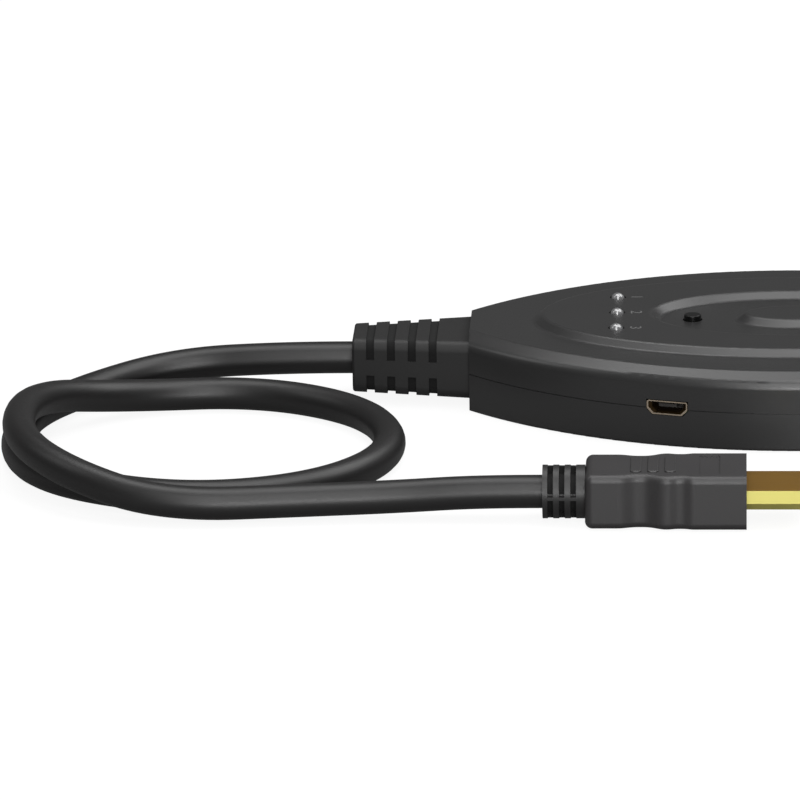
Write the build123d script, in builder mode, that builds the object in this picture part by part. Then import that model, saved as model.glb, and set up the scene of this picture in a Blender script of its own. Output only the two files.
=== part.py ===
from build123d import *
import os
from math import pi, radians, sqrt, tan

# A switch box with three picture inputs, a fixed lead that ends in a plug, a power socket
# and a select button. +X runs along the casing towards the inputs, +Z is up, and the origin
# is under the middle of the casing. All sizes are in millimetres.

# Casing
casing_width = 86.4
cable_face_width = 26.4
widest_from_cable_face = 69.5
widest_from_port_face = 35.5
parting_height = 8.3
wall_top_height = 14.7
terrace_height = 16.65
edge_run = 3.8
edge_low_round = 2.2
edge_high_round = 1.2
foot_round = 0.7
wall = 2.0
floor = 1.8
roof = 1.8
seam_width = 0.18
seam_depth = 0.3
lip_height = 1.2
lip_gap = 0.1
fit_gap = 0.05
overrun = 2.0

# Raised ring, recess and island on the lid, all ovals about the widest place
plateau_rise = 1.6
slope_along = 2.0
slope_across = 2.0
slope_round = 1.2
ring_reach = 56.0
ring_half_width = 29.9
recess_reach = 30.9
recess_half_width = 17.4
island_reach = 12.5
island_half_width = 7.3

# Lamps
lamp_from_cable_face = 31.5
lamp_spacing = 12.0
lamp_diameter = 3.0
lamp_proud = 1.0
lamp_flange_diameter = 3.8
lamp_flange = 0.9
lamp_hole_gap = 0.25
lamp_seat_gap = 0.3
lamp_lead = 0.5
lamp_lead_spacing = 1.6
lead_tail = 1.0
lead_hole_gap = 0.15

# Select button and the switch that it belongs to
button_from_cable_face = 47.7
button_diameter = 3.7
button_proud = 1.2
button_round = 0.3
button_hole_gap = 0.25
button_travel = 0.25
button_flange_diameter = 4.6
button_flange = 0.5
cover_hole_gap = 0.1
switch_width = 6.0
switch_height = 3.4
switch_cover_thickness = 0.3
switch_well_diameter = 5.0
switch_leg_width = 0.7
switch_leg_thickness = 0.3
switch_leg_spacing = 4.5
dome_diameter = 4.4
dome_height = 0.6
dome_thickness = 0.12
dome_gap = 0.3

# Circuit board and what is soldered to it
board_top_height = 7.2
board_thickness = 1.6
board_gap = 0.8
board_from_cable_face = 14.5
chip_width = 10.0
chip_thickness = 1.2
chip_gap = 4.7
chip_lead_spacing = 0.8
chip_lead_count = 11
chip_lead_reach = 1.0
chip_lead_width = 0.3
chip_lead_thickness = 0.2
crystal_length = 11.0
crystal_width = 4.6
crystal_height = 3.4
crystal_base = 0.5
crystal_flange = 0.4
crystal_gap = 2.7
regulator_length = 6.5
regulator_width = 3.5
regulator_height = 1.6
regulator_from_near_wall = 12.0
small_part_length = 1.6
small_part_width = 0.8
capacitor_height = 0.8
resistor_height = 0.45
small_part_spacing = 3.2
capacitor_count = 8
capacitor_from_chip = 9.5
resistor_count = 10
resistor_gap = 6.7

# Screws, driven from below through the board into the lid
screw_from_cable_face = 21.5
screw_spacing_cable_end = 34.0
screw_from_port_face = 24.5
screw_spacing_port_end = 66.0
screw_diameter = 2.2
screw_length = 10.0
screw_head_diameter = 4.2
screw_head = 1.5
screw_head_recess = 1.4
screw_cross_length = 2.4
screw_cross_width = 0.6
screw_cross_depth = 0.8
screw_hole_gap = 0.25
boss_diameter = 6.0
boss_hole_spare = 0.6

# Plug outline, which the input sockets take
plug_width = 13.9
plug_height = 4.45
plug_bevel_drop = 1.7
plug_bevel_run = 1.6
plug_reach = 11.9
plug_shell_wall = 0.35
contact_count = 19
contact_spacing = 0.5
contact_width = 0.3
contact_thickness = 0.15
tongue_width = 11.8
tongue_thickness = 1.2
tongue_setback = 0.9
tongue_length = 7.2
contact_setback = 0.6

# Input sockets
input_count = 3
input_side_gap = 6.0
input_mouth_gap = 0.05
input_wall = 0.4
input_depth = 12.0
input_setback = 0.2
input_hole_gap = 0.2
input_leg_length = 1.0
input_leg_spacing = 6.0
input_leg_from_mouth = 4.5
input_tail_reach = 0.8

# Power socket in the near wall
power_from_cable_face = 42.5
power_width = 7.5
power_height = 2.6
power_depth = 5.6
power_wall = 0.25
power_mouth_width = 8.9
power_mouth_height = 3.0
power_flare_depth = 0.7
power_bevel_share = 0.4
power_round = 0.45
power_hole_gap = 0.15
power_leg_length = 1.0
power_leg_inset = 4.0
power_tongue_width = 3.9
power_tongue_thickness = 0.65
power_tongue_rise = 0.45
power_tongue_setback = 0.7
power_block_depth = 1.6
power_contact_count = 5
power_contact_spacing = 0.65
power_contact_width = 0.35
power_contact_thickness = 0.1

# Lead
cord_diameter = 6.9
wire_diameter = 0.5
wire_count = 10
wire_spacing = 0.56
wire_end_gap = 0.1
pad_spacing = 1.3
pad_inset = 2.5
cord_stub_inside = 6.5

# Strain relief at the casing
relief_length = 25.25
relief_tip_width = 15.2
relief_tip_height = 11.9
relief_root_width = 23.0
relief_root_height = 12.7
relief_round = 2.2
relief_tip_round = 0.6
relief_slot_count = 4
relief_slot_width = 1.75
relief_slot_spacing = 4.5
relief_slot_from_tip = 3.0
relief_slot_depth = 0.45
relief_bridge = 3.5
relief_neck_width = 17.0
relief_neck_height = 8.4
relief_flange_width = 20.0
relief_flange_height = 10.6
relief_flange = 1.6
relief_hole_gap = 0.1

# Plug body and its collar
plug_front_from_cable_face = 59.2
plug_line_from_middle = 89.55
plug_body_length = 32.9
plug_body_width = 16.85
plug_body_height = 11.4
plug_body_round = 1.5
plug_corner_round = 1.5
grip_waist = 0.9
grip_bulge = 0.75
grip_dip = 0.3
grip_front = 0.82
grip_slope_shares = ((0.20, 0.335), (0.353, 0.505), (0.508, 0.585), (0.597, 0.673))
pad_count = 3
pad_width = 2.3
pad_reach = 10.7
pad_corner_round = 0.7
pad_rise = 0.3
pad_edge_round = 0.2
pad_first_share = 0.315
pad_step_share = 0.106
panel_length = 4.2
panel_reach = 12.8
panel_depth = 0.3
panel_place_share = 0.772
plug_shell_inside = 12.0
plug_slot_height = 1.9
plug_slot_width = 12.1
plug_slot_depth = 8.2
plug_insulator_setback = 0.5
plug_cavity_height = 3.6
plug_cavity_width = 12.0
plug_cavity_rear_wall = 5.0
plug_tail_reach = 2.0
plug_wire_spacing = 1.1
plug_wire_rise = 0.6
collar_length = 8.75
collar_diameter = 11.0
collar_core_diameter = 7.9
collar_slot_count = 3
collar_slot_width = 1.15
collar_slot_spacing = 2.35
collar_slot_from_tip = 1.05
collar_spine = 0.7
collar_grip = 3.0

# Places worked out from the sizes
casing_length = widest_from_cable_face + widest_from_port_face
cable_face_x = -casing_length / 2
port_face_x = casing_length / 2
widest_x = cable_face_x + widest_from_cable_face
side_rise = (casing_width - cable_face_width) / 2
side_radius = (widest_from_cable_face ** 2 + side_rise ** 2) / (2 * side_rise)
port_face_half_width = casing_width / 2 - side_radius + sqrt(side_radius ** 2 - widest_from_port_face ** 2)
plateau_height = terrace_height + plateau_rise
ceiling_height = terrace_height - roof
board_bottom_height = board_top_height - board_thickness
relief_tip_x = cable_face_x - relief_length
plug_front_x = cable_face_x + plug_front_from_cable_face
plug_y = -plug_line_from_middle
plug_z = plug_body_height / 2
plug_rear_x = plug_front_x - plug_body_length
collar_tip_x = plug_rear_x - collar_length
board_start_x = cable_face_x + board_from_cable_face
lamp_x = cable_face_x + lamp_from_cable_face
lamp_places = [(lamp_x, lamp_spacing), (lamp_x, 0), (lamp_x, -lamp_spacing)]
button_x = cable_face_x + button_from_cable_face
button_top = terrace_height + button_proud
button_foot = board_top_height + switch_height - switch_cover_thickness - fit_gap - button_flange
dome_floor = button_foot - dome_gap - dome_height
switch_leg_spread = switch_width + switch_leg_thickness
screw_seat_height = screw_head_recess + screw_head
screw_tip = screw_seat_height + screw_length
crystal_x = button_x + (switch_leg_spread + switch_leg_thickness + crystal_width) / 2 + crystal_gap
chip_x = crystal_x + (crystal_width + chip_width) / 2 + chip_gap + chip_lead_reach
screw_places = [
    (x, side * spacing / 2)
    for x, spacing in (
        (cable_face_x + screw_from_cable_face, screw_spacing_cable_end),
        (port_face_x - screw_from_port_face, screw_spacing_port_end),
    )
    for side in (1, -1)
]
input_mouth_width = plug_width + 2 * input_mouth_gap
input_mouth_height = plug_height + 2 * input_mouth_gap
input_outer_width = input_mouth_width + 2 * input_wall
input_outer_height = input_mouth_height + 2 * input_wall
input_row_reach = port_face_half_width - wall - input_side_gap - input_outer_width / 2
input_places = [input_row_reach * (1 - 2 * index / (input_count - 1)) for index in range(input_count)]
input_z = board_top_height + input_outer_height / 2
input_mouth_x = port_face_x - input_setback
input_leg_x = input_mouth_x - input_leg_from_mouth - input_leg_spacing / 2
input_leg_spread = input_outer_width - input_wall
resistor_x = input_mouth_x - input_depth - input_tail_reach - resistor_gap - small_part_length / 2
power_z = board_top_height + power_height / 2
power_x = cable_face_x + power_from_cable_face

# The near wall's own direction at the power socket, from the middle of its arc
power_turn_x = (power_x - widest_x) / side_radius
power_turn_y = -sqrt(1 - power_turn_x ** 2)
power_y = side_radius - casing_width / 2 + side_radius * power_turn_y
power_plane = Plane(
    origin=(power_x, power_y, power_z),
    x_dir=(-power_turn_y, power_turn_x, 0),
    z_dir=(power_turn_x, power_turn_y, 0),
)
power_leg_spread = power_width - power_wall
regulator_y = power_y + regulator_from_near_wall

# The lead's way over the table: out of the strain relief, once round in a loop that climbs
# over its own start, and into the plug's collar
cord_points = [
    (relief_tip_x, 0, parting_height),
    (-92.0, 0.0, parting_height),
    (-116.4, 1.9, 6.4),
    (-136.3, -9.4, 3.45),
    (-146.8, -30.0, 3.45),
    (-146.2, -58.6, 3.45),
    (-133.6, -77.2, 3.45),
    (-106.9, -88.2, 3.45),
    (-79.6, -78.7, 3.45),
    (-65.8, -53.4, 3.45),
    (-72.8, -25.4, 3.45),
    (-96.8, -9.4, 3.45),
    (-125.9, -13.6, 3.6),
    (-144.6, -35.3, 10.3),
    (-145.8, -64.3, 10.8),
    (-134.1, -84.0, 8.5),
    (-112.7, -94.3, 4.1),
    (-81.6, -90.5, 4.2),
    (-65.0, -89.2, 4.5),
    (-48.0, plug_y, plug_z),
    (collar_tip_x, plug_y, plug_z),
]
cord_corner_share = 0.45
UPWARDS = (Align.CENTER, Align.CENTER, Align.MIN)


def leaf(inset, low, high, run=0, drop=0, high_round=0, low_round=0, end_round=0):
    """The casing's leaf shape drawn in by inset: two arcs that meet, cut off at both ends."""
    reach = side_radius - inset
    rim = [(reach, high - drop), (reach - run, high)] if drop else [(reach, high)]
    with BuildPart() as form:
        for side in (1, -1):
            middle = (widest_x, side * (side_radius - casing_width / 2), 0)
            with BuildSketch(Plane(origin=middle, x_dir=(1, 0, 0), z_dir=(0, -1, 0))) as half:
                with BuildLine():
                    Polyline((0, low), (reach, low), *rim, (0, high), close=True)
                make_face()
                if high_round:
                    fillet(half.vertices().group_by(Axis.Y)[-1].sort_by(Axis.X)[-1], high_round)
                    fillet(half.vertices().group_by(Axis.X)[-1].sort_by(Axis.Y)[-1], end_round)
                if low_round:
                    fillet(half.vertices().group_by(Axis.Y)[0].sort_by(Axis.X)[-1], low_round)
            mode = Mode.ADD if side == 1 else Mode.INTERSECT
            revolve(axis=Axis(middle, (0, 0, 1)), mode=mode)
        with Locations((0, 0, (low + high) / 2)):
            Box(casing_length - 2 * inset, 2 * casing_width, high - low, mode=Mode.INTERSECT)
    return form.part


def oval(low_radii, high_radii, low, high):
    """A low hill or hollow with oval outlines about the casing's widest place."""
    with BuildPart() as hill:
        with BuildSketch(Plane(origin=(widest_x, 0, low))):
            Ellipse(*low_radii)
        with BuildSketch(Plane(origin=(widest_x, 0, high))):
            Ellipse(*high_radii)
        loft()
        split(bisect_by=Plane.YZ.offset(port_face_x), keep=Keep.BOTTOM)
    return hill.part


def port_outline(width, height, bevel_run, bevel_drop, corner_round=0):
    """A flat outline with a wide straight top and bevelled lower corners, which may be rounded."""
    with BuildSketch() as outline:
        Polygon(
            (-width / 2, height / 2),
            (-width / 2, bevel_drop - height / 2),
            (bevel_run - width / 2, -height / 2),
            (width / 2 - bevel_run, -height / 2),
            (width / 2, bevel_drop - height / 2),
            (width / 2, height / 2),
            align=None,
        )
        if corner_round:
            fillet(outline.vertices(), corner_round)
    return outline.sketch


def wire_run(ends):
    """Straight round wires, one between each pair of places."""
    with BuildPart() as wires:
        for start, stop in ends:
            run = Vector(*stop) - Vector(*start)
            with BuildSketch(Plane(origin=start, z_dir=run)):
                Circle(wire_diameter / 2)
            extrude(amount=run.length)
    return wires.part


def save(part, name):
    """Labels one finished piece and writes it to its own file."""
    part.label = name
    export_step(part, f"parts/{name}.step")


os.makedirs("parts", exist_ok=True)

# What both halves of the casing share
cavity = leaf(wall, floor, ceiling_height, edge_run, terrace_height - wall_top_height)
seam = leaf(-overrun, parting_height - seam_width / 2, parting_height + seam_width / 2)
seam -= leaf(seam_depth, parting_height - seam_width / 2, parting_height + seam_width / 2)

with BuildPart() as openings:
    for y in input_places:
        with BuildSketch(Plane(origin=(port_face_x - wall - overrun, y, input_z), x_dir=(0, 1, 0), z_dir=(1, 0, 0))):
            Rectangle(input_outer_width + 2 * input_hole_gap, input_outer_height + 2 * input_hole_gap)
        extrude(amount=wall + 2 * overrun)
    with BuildSketch(power_plane):
        add(
            port_outline(
                power_mouth_width + 2 * power_hole_gap,
                power_mouth_height + 2 * power_hole_gap,
                power_mouth_height * power_bevel_share,
                power_mouth_height * power_bevel_share,
            )
        )
    extrude(amount=wall + overrun, both=True)
    with BuildSketch(Plane(origin=(cable_face_x - overrun, 0, parting_height), x_dir=(0, 1, 0), z_dir=(1, 0, 0))):
        RectangleRounded(
            relief_neck_width + 2 * relief_hole_gap, relief_neck_height + 2 * relief_hole_gap, relief_round
        )
    extrude(amount=wall + 2 * overrun)

# Lid with its ring, recess and island
ring_radii = (ring_reach, ring_half_width)
ring_top_radii = (ring_reach - slope_along, ring_half_width - slope_across)
recess_radii = (recess_reach, recess_half_width)
recess_floor_radii = (recess_reach - slope_along, recess_half_width - slope_across)
island_radii = (island_reach, island_half_width)
island_top_radii = (island_reach - slope_along, island_half_width - slope_across)

ring_pocket = oval(
    (ring_reach - slope_along - roof, ring_half_width - slope_across - roof),
    (ring_reach - slope_along - roof, ring_half_width - slope_across - roof),
    ceiling_height,
    plateau_height - roof,
)
ring_pocket -= oval(
    (recess_reach + roof, recess_half_width + roof),
    (recess_reach + roof, recess_half_width + roof),
    ceiling_height,
    plateau_height - roof,
)

with BuildPart() as top_shell:
    add(
        leaf(
            0,
            0,
            terrace_height,
            edge_run,
            terrace_height - wall_top_height,
            high_round=edge_high_round,
            end_round=edge_low_round,
        )
    )
    add(oval(ring_radii, ring_top_radii, terrace_height, plateau_height))
    add(oval(recess_floor_radii, recess_radii, terrace_height, plateau_height), mode=Mode.SUBTRACT)
    add(oval(island_radii, island_top_radii, terrace_height, plateau_height))
    fillet(top_shell.edges().filter_by(GeomType.ELLIPSE), slope_round)
    add(cavity, mode=Mode.SUBTRACT)
    add(ring_pocket, mode=Mode.SUBTRACT)
    split(bisect_by=Plane.XY.offset(parting_height), keep=Keep.TOP)
    add(leaf(wall / 2, parting_height, parting_height + lip_height + lip_gap), mode=Mode.SUBTRACT)
    for x, y in screw_places:
        with Locations((x, y, board_top_height)):
            Cylinder(boss_diameter / 2, ceiling_height + roof / 2 - board_top_height, align=UPWARDS)
            Cylinder(screw_diameter / 2, screw_tip + boss_hole_spare - board_top_height, align=UPWARDS, mode=Mode.SUBTRACT)
    for x, y in lamp_places:
        with Locations((x, y, ceiling_height)):
            Cylinder(lamp_diameter / 2 + lamp_hole_gap, plateau_height, align=UPWARDS, mode=Mode.SUBTRACT)
            Cylinder(
                lamp_flange_diameter / 2 + lamp_hole_gap,
                plateau_rise,
                align=UPWARDS,
                mode=Mode.SUBTRACT,
            )
    with Locations((button_x, 0, parting_height)):
        Cylinder(button_diameter / 2 + button_hole_gap, plateau_height, align=UPWARDS, mode=Mode.SUBTRACT)
    add(openings.part, mode=Mode.SUBTRACT)
    add(seam, mode=Mode.SUBTRACT)
save(top_shell.part, "top_shell")

# Tray with its lip and the screw seats that carry the board
with BuildPart() as bottom_shell:
    add(leaf(0, 0, parting_height, low_round=foot_round))
    add(cavity, mode=Mode.SUBTRACT)
    lip = leaf(wall / 2 + lip_gap, parting_height - lip_height, parting_height + lip_height)
    add(lip - leaf(wall, parting_height - lip_height, parting_height + lip_height))
    for x, y in screw_places:
        with Locations((x, y, 0)):
            Cylinder(boss_diameter / 2, board_bottom_height, align=UPWARDS)
            Cylinder(screw_diameter / 2 + screw_hole_gap, parting_height, align=UPWARDS, mode=Mode.SUBTRACT)
            Cylinder(
                screw_head_diameter / 2 + screw_hole_gap,
                screw_seat_height,
                align=UPWARDS,
                mode=Mode.SUBTRACT,
            )
    add(openings.part, mode=Mode.SUBTRACT)
    add(seam, mode=Mode.SUBTRACT)
save(bottom_shell.part, "bottom_shell")

# Screws with a crossed slot in the head
with BuildPart() as case_screws:
    for x, y in screw_places:
        with Locations((x, y, screw_head_recess)):
            Cylinder(screw_head_diameter / 2, screw_head, align=UPWARDS)
            Cylinder(screw_diameter / 2, screw_tip - screw_head_recess, align=UPWARDS)
            for turn in (0, 90):
                Box(
                    screw_cross_length,
                    screw_cross_width,
                    screw_cross_depth,
                    rotation=(0, 0, turn),
                    align=UPWARDS,
                    mode=Mode.SUBTRACT,
                )
save(case_screws.part, "case_screws")

# Circuit board
with BuildPart() as circuit_board:
    add(leaf(wall + board_gap, board_bottom_height, board_top_height))
    split(bisect_by=Plane.YZ.offset(board_start_x), keep=Keep.TOP)
    for x, y in screw_places:
        with Locations((x, y, board_bottom_height)):
            Cylinder(screw_diameter / 2 + screw_hole_gap, board_thickness, align=UPWARDS, mode=Mode.SUBTRACT)
    for x, y in lamp_places:
        with Locations((x, y, board_bottom_height)), GridLocations(lamp_lead_spacing, 0, 2, 1):
            Box(
                lamp_lead + 2 * lead_hole_gap,
                lamp_lead + 2 * lead_hole_gap,
                board_thickness,
                align=UPWARDS,
                mode=Mode.SUBTRACT,
            )
    with Locations((button_x, 0, board_bottom_height)), GridLocations(switch_leg_spread, switch_leg_spacing, 2, 2):
        Box(
            switch_leg_thickness + 2 * lead_hole_gap,
            switch_leg_width + 2 * lead_hole_gap,
            board_thickness,
            align=UPWARDS,
            mode=Mode.SUBTRACT,
        )
    for y in input_places:
        with Locations((input_leg_x, y, board_bottom_height)), GridLocations(input_leg_spacing, input_leg_spread, 2, 2):
            Box(
                input_leg_length + 2 * lead_hole_gap,
                input_wall + 2 * lead_hole_gap,
                board_thickness,
                align=UPWARDS,
                mode=Mode.SUBTRACT,
            )
    with Locations(power_plane), Locations((0, 0, -power_leg_inset)), GridLocations(power_leg_spread, 0, 2, 1):
        Box(
            power_wall + 2 * lead_hole_gap,
            2 * (power_z - board_bottom_height),
            power_leg_length + 2 * lead_hole_gap,
            mode=Mode.SUBTRACT,
        )
save(circuit_board.part, "circuit_board")


def input_socket(number, y):
    """One picture input: its shell with four legs, its block with a tongue, and its contacts."""
    mouth = Plane(origin=(input_mouth_x, y, input_z), x_dir=(0, 1, 0), z_dir=(1, 0, 0))
    rear = mouth.offset(-input_depth)
    with BuildPart() as contacts:
        for index in range(contact_count):
            across = (index - (contact_count - 1) / 2) * contact_spacing
            rise = tongue_thickness / 2 if index % 2 == 0 else -tongue_thickness / 2
            front = input_mouth_x - tongue_setback - contact_setback
            back = input_mouth_x - input_depth - input_tail_reach
            with Locations(((front + back) / 2, y + across, input_z + rise)):
                Box(front - back, contact_width, contact_thickness)
            drop = input_z + rise - board_top_height
            with Locations((back, y + across, board_top_height)):
                Box(contact_thickness, contact_width, drop, align=(Align.MIN, Align.CENTER, Align.MIN))
    save(contacts.part, f"input_socket_{number}_contacts")

    with BuildPart() as shell:
        with BuildSketch(rear):
            add(port_outline(input_outer_width, input_outer_height, plug_bevel_run, plug_bevel_drop))
            add(
                port_outline(input_mouth_width, input_mouth_height, plug_bevel_run, plug_bevel_drop),
                mode=Mode.SUBTRACT,
            )
        extrude(amount=input_depth)
        leg = input_z - board_bottom_height + lead_tail
        with Locations((input_leg_x, y, input_z)), GridLocations(input_leg_spacing, input_leg_spread, 2, 2):
            Box(input_leg_length, input_wall, leg, align=(Align.CENTER, Align.CENTER, Align.MAX))
    save(shell.part, f"input_socket_{number}_shell")

    with BuildPart() as tongue:
        with BuildSketch(rear):
            add(
                port_outline(
                    input_mouth_width - 2 * fit_gap,
                    input_mouth_height - 2 * fit_gap,
                    plug_bevel_run,
                    plug_bevel_drop,
                )
            )
        extrude(amount=input_depth - tongue_setback - tongue_length)
        with BuildSketch(rear):
            Rectangle(tongue_width, tongue_thickness)
        extrude(amount=input_depth - tongue_setback)
        add(contacts.part, mode=Mode.SUBTRACT)
    save(tongue.part, f"input_socket_{number}_tongue")


for index, y in enumerate(input_places):
    input_socket(index + 1, y)

# Power socket, square to the near wall: shell with a flared mouth, tongue and contacts
power_bevel = power_height * power_bevel_share
power_mouth_bevel = power_mouth_height * power_bevel_share


def power_form(shrink):
    """The power socket's body and flare, drawn in by shrink on every side."""
    corner_round = power_round - shrink
    body = port_outline(
        power_width - 2 * shrink,
        power_height - 2 * shrink,
        power_bevel,
        power_bevel,
        corner_round,
    )
    lips = port_outline(
        power_mouth_width - 2 * shrink,
        power_mouth_height - 2 * shrink,
        power_mouth_bevel,
        power_mouth_bevel,
        corner_round,
    )
    with BuildPart() as form:
        with BuildSketch(power_plane.offset(-power_depth)):
            add(body)
        extrude(amount=power_depth - power_flare_depth)
        with BuildSketch(power_plane.offset(-power_flare_depth)):
            add(body)
        with BuildSketch(power_plane):
            add(lips)
        loft()
    return form.part


with BuildPart() as power_contacts:
    with Locations(power_plane):
        for index in range(power_contact_count):
            across = (index - (power_contact_count - 1) / 2) * power_contact_spacing
            level = power_tongue_rise - power_tongue_thickness / 2
            front = -power_tongue_setback - power_contact_width
            back = -power_depth - power_contact_width
            with Locations((across, level, (front + back) / 2)):
                Box(power_contact_width, power_contact_thickness, front - back)
            with Locations((across, level, back)):
                Box(
                    power_contact_width,
                    power_z + level - board_top_height,
                    power_contact_thickness,
                    align=(Align.CENTER, Align.MAX, Align.MIN),
                )
save(power_contacts.part, "power_socket_contacts")

with BuildPart() as power_shell:
    add(power_form(0))
    add(power_form(power_wall), mode=Mode.SUBTRACT)
    with Locations(power_plane), Locations((0, 0, -power_leg_inset)), GridLocations(power_leg_spread, 0, 2, 1):
        Box(
            power_wall,
            power_z - board_bottom_height + lead_tail,
            power_leg_length,
            align=(Align.CENTER, Align.MAX, Align.CENTER),
        )
save(power_shell.part, "power_socket_shell")

with BuildPart() as power_tongue:
    with BuildSketch(power_plane.offset(-power_depth)):
        add(
            port_outline(
                power_width - 2 * power_wall - 2 * fit_gap,
                power_height - 2 * power_wall - 2 * fit_gap,
                power_bevel,
                power_bevel,
                power_round - power_wall - fit_gap,
            )
        )
    extrude(amount=power_block_depth)
    with Locations(power_plane), Locations((0, power_tongue_rise, -power_tongue_setback)):
        Box(
            power_tongue_width,
            power_tongue_thickness,
            power_depth - power_tongue_setback,
            align=(Align.CENTER, Align.CENTER, Align.MAX),
        )
    add(power_contacts.part, mode=Mode.SUBTRACT)
save(power_tongue.part, "power_socket_tongue")

# Chip, crystal, regulator and the small parts round them
with BuildPart() as switch_chip:
    with Locations((chip_x, 0, board_top_height + chip_lead_thickness / 2)):
        Box(chip_width, chip_width, chip_thickness, align=UPWARDS)
    chamfer(switch_chip.faces().sort_by(Axis.Z)[-1].edges(), chip_lead_thickness)
save(switch_chip.part, "switch_chip")

with BuildPart() as chip_leads:
    with Locations((chip_x, 0, board_top_height)), PolarLocations((chip_width + chip_lead_reach) / 2, 4):
        with GridLocations(0, chip_lead_spacing, 1, chip_lead_count):
            Box(chip_lead_reach, chip_lead_width, chip_lead_thickness, align=UPWARDS)
save(chip_leads.part, "switch_chip_leads")

with BuildPart() as clock_crystal:
    with BuildSketch(Plane(origin=(crystal_x, 0, board_top_height))):
        SlotOverall(crystal_length, crystal_width, rotation=90)
    extrude(amount=crystal_base)
    with BuildSketch(Plane(origin=(crystal_x, 0, board_top_height + crystal_base))):
        SlotOverall(crystal_length - 2 * crystal_flange, crystal_width - 2 * crystal_flange, rotation=90)
    extrude(amount=crystal_height - crystal_base)
    fillet(clock_crystal.faces().sort_by(Axis.Z)[-1].edges(), crystal_flange)
save(clock_crystal.part, "clock_crystal")

with BuildPart() as regulator:
    with Locations((power_x, regulator_y, board_top_height)):
        Box(regulator_length, regulator_width, regulator_height, align=UPWARDS)
    chamfer(regulator.faces().sort_by(Axis.Z)[-1].edges(), regulator_height / 4)
save(regulator.part, "voltage_regulator")

with BuildPart() as capacitors:
    with Locations((chip_x, 0, board_top_height)):
        with GridLocations(small_part_spacing, 2 * capacitor_from_chip, capacitor_count // 2, 2):
            Box(small_part_length, small_part_width, capacitor_height, align=UPWARDS)
save(capacitors.part, "capacitors")

with BuildPart() as resistors:
    with Locations((resistor_x, 0, board_top_height)):
        with GridLocations(0, small_part_spacing, 1, resistor_count):
            Box(small_part_length, small_part_width, resistor_height, align=UPWARDS)
save(resistors.part, "resistors")

# Push switch under the select button
with BuildPart() as switch_housing:
    with Locations((button_x, 0, board_top_height)):
        Box(switch_width, switch_width, switch_height - switch_cover_thickness, align=UPWARDS)
    with Locations((button_x, 0, dome_floor)):
        Cylinder(switch_well_diameter / 2, switch_height, align=UPWARDS, mode=Mode.SUBTRACT)
save(switch_housing.part, "switch_housing")

with BuildPart() as switch_cover:
    with Locations((button_x, 0, board_top_height + switch_height - switch_cover_thickness)):
        Box(switch_width, switch_width, switch_cover_thickness, align=UPWARDS)
        Cylinder(button_diameter / 2 + cover_hole_gap, switch_cover_thickness, align=UPWARDS, mode=Mode.SUBTRACT)
save(switch_cover.part, "switch_cover")

with BuildPart() as switch_legs:
    with Locations((button_x, 0, board_top_height + switch_height / 2)):
        with GridLocations(switch_leg_spread, switch_leg_spacing, 2, 2):
            Box(
                switch_leg_thickness,
                switch_leg_width,
                switch_height / 2 + board_thickness + lead_tail,
                align=(Align.CENTER, Align.CENTER, Align.MAX),
            )
save(switch_legs.part, "switch_legs")

dome_bend = ((dome_diameter / 2) ** 2 + dome_height ** 2) / (2 * dome_height)
with BuildPart() as switch_dome:
    with Locations((button_x, 0, dome_floor + dome_height - dome_bend)):
        Sphere(dome_bend)
        Sphere(dome_bend - dome_thickness, mode=Mode.SUBTRACT)
    split(bisect_by=Plane.XY.offset(dome_floor), keep=Keep.TOP)
save(switch_dome.part, "switch_dome")

with BuildPart() as select_button:
    with Locations((button_x, 0, button_foot)):
        Cylinder(button_flange_diameter / 2, button_flange, align=UPWARDS)
        Cylinder(button_diameter / 2, button_top - button_foot, align=UPWARDS)
    fillet(select_button.faces().sort_by(Axis.Z)[-1].edges(), button_round)
save(select_button.part, "select_button")

# Lamps that look out through the lid
lamp_radius = lamp_diameter / 2
lamp_flange_top = plateau_height - roof - lamp_seat_gap
lamp_foot = lamp_flange_top - lamp_flange
lamp_shoulder = plateau_height + lamp_proud - lamp_radius
for index, (x, y) in enumerate(lamp_places):
    with BuildPart() as lamp:
        with BuildSketch(Plane(origin=(x, y, 0), x_dir=(1, 0, 0), z_dir=(0, -1, 0))):
            with BuildLine():
                Polyline(
                    (0, lamp_shoulder + lamp_radius),
                    (0, lamp_foot),
                    (lamp_flange_diameter / 2, lamp_foot),
                    (lamp_flange_diameter / 2, lamp_flange_top),
                    (lamp_radius, lamp_flange_top),
                    (lamp_radius, lamp_shoulder),
                )
                RadiusArc((lamp_radius, lamp_shoulder), (0, lamp_shoulder + lamp_radius), -lamp_radius)
            make_face()
        revolve(axis=Axis((x, y, 0), (0, 0, 1)))
    save(lamp.part, f"lamp_{index + 1}")

with BuildPart() as lamp_leads:
    for x, y in lamp_places:
        with Locations((x, y, lamp_foot)), GridLocations(lamp_lead_spacing, 0, 2, 1):
            Box(
                lamp_lead,
                lamp_lead,
                lamp_foot - board_bottom_height + lead_tail,
                align=(Align.CENTER, Align.CENTER, Align.MAX),
            )
save(lamp_leads.part, "lamp_leads")


def relief_form(shrink):
    """The tapered strain relief outside the casing, drawn in by shrink on its four sides."""
    with BuildPart() as form:
        for x, width, height in (
            (relief_tip_x, relief_tip_width, relief_tip_height),
            (cable_face_x, relief_root_width, relief_root_height),
        ):
            with BuildSketch(Plane(origin=(x, 0, parting_height), x_dir=(0, 1, 0), z_dir=(1, 0, 0))):
                RectangleRounded(width - 2 * shrink, height - 2 * shrink, relief_round)
        loft()
    return form.part


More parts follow.
